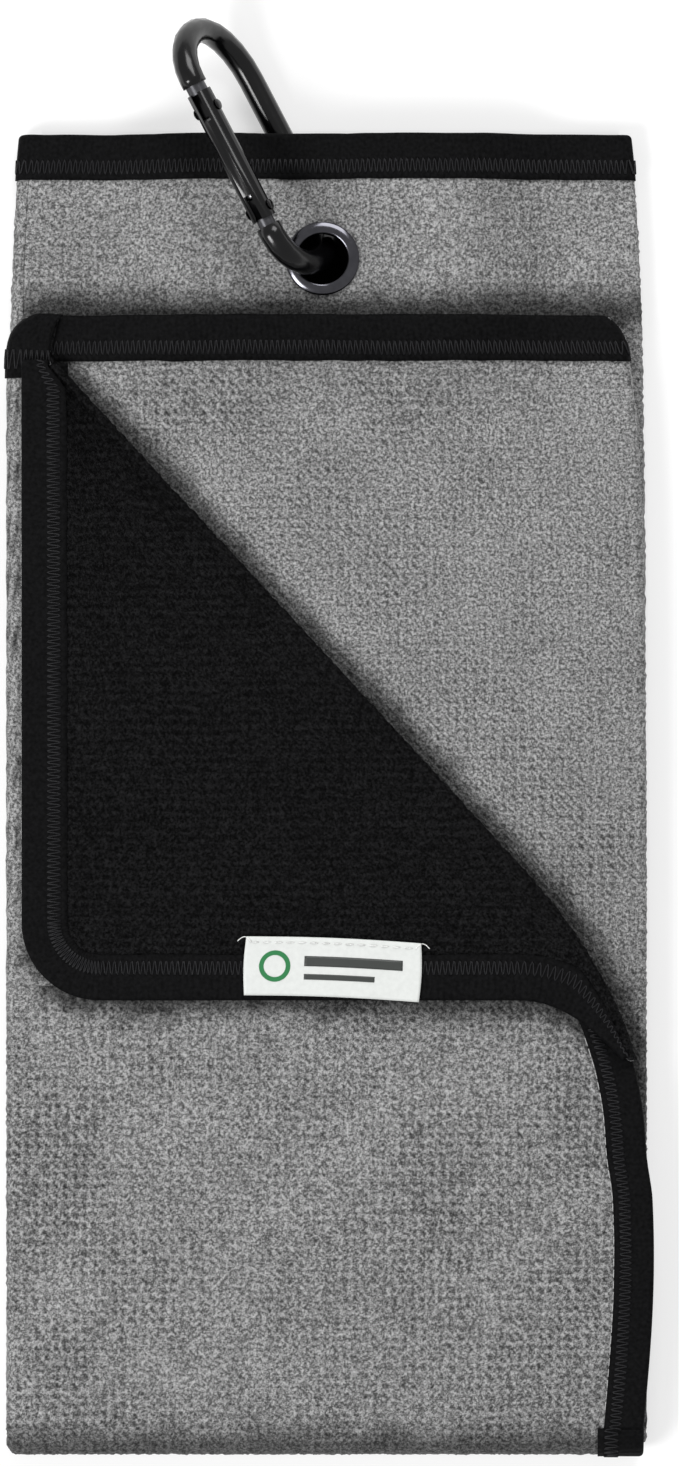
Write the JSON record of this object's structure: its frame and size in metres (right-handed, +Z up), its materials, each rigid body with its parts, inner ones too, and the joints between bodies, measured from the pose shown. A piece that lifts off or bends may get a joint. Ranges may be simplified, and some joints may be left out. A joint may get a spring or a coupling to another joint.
{
  "type": "golf towel",
  "caption": "Trifold waffle golf towel with taped edges, a turned-back corner, a sewn label, an eyelet and a snap clip.",
  "frame": {"origin": "on the surface that the towel lies on, under the middle of its whole length with the clip, and within 1 mm of the middle of its width", "axes": "+Z up, away from that surface; +Y from the bottom fold to the eyelet and the clip; +X to the right as the label is read"},
  "size_m": [0.1398, 0.3131, 0.028],
  "materials": {
    "grey_waffle": "mid-grey waffle-weave microfibre terry, black on its reverse",
    "black_tape": "black ribbed binding tape, sewn along both of its edges",
    "satin_label": "white woven satin label",
    "gunmetal": "polished gunmetal plating",
    "black_anodised": "glossy black anodised",
    "bare_steel": "bare spring steel"
  },
  "bodies": {
    "towel": {"rear_cloth": "grey_waffle", "bottom_fold_cloth": "grey_waffle", "rear_end_binding": "black_tape", "inner_edge_binding_rear": "black_tape", "inner_edge_binding_fold": "black_tape", "outer_edge_binding_rear": "black_tape", "outer_edge_binding_fold": "black_tape", "eyelet": "gunmetal", "eyelet_washer": "gunmetal"},
    "front_half": {"front_cloth": "grey_waffle", "front_end_binding": "black_tape", "inner_edge_binding_front": "black_tape", "outer_edge_binding_front": "black_tape", "corner_binding": "black_tape", "label": "satin_label"},
    "clip": {"clip_body": "black_anodised", "hinge_pin": "black_anodised"},
    "gate": {"clip_gate": "black_anodised", "latch_pin": "black_anodised", "gate_spring": "bare_steel"},
    "plunger": {"spring_plunger": "bare_steel"}
  },
  "joints": [
    {"name": "clip_swing", "type": "hinge", "parent": "towel", "child": "clip", "pos_m": [-0.0017, 0.104, 0.0142], "axis": [0, 0, 1], "range_deg": [-70, 20]},
    {"name": "gate_hinge", "type": "hinge", "parent": "clip", "child": "gate", "pos_m": [-0.01524, 0.11409, 0.02524], "axis": [-0.7839, -0.4081, -0.4679], "range_deg": [0, 20], "stiffness_Nm_per_rad": 0.01, "springref_deg": -17.19},
    {"name": "plunger_slide", "type": "slide", "parent": "gate", "child": "plunger", "axis": [-0.4617, 0.887, 0], "range_m": [0, 0.0004]},
    {"name": "front_half_fold", "type": "hinge", "parent": "towel", "child": "front_half", "pos_m": [0, -0.15025, 0.00647], "axis": [1, 0, 0], "range_deg": [0, 175], "deforming": ["bottom_fold_cloth", "inner_edge_binding_fold", "outer_edge_binding_fold"]}
  ],
  "couplings": [
    {"joint": "plunger_slide", "follows": "gate_hinge", "m_per_rad": 0.000917}
  ]
}
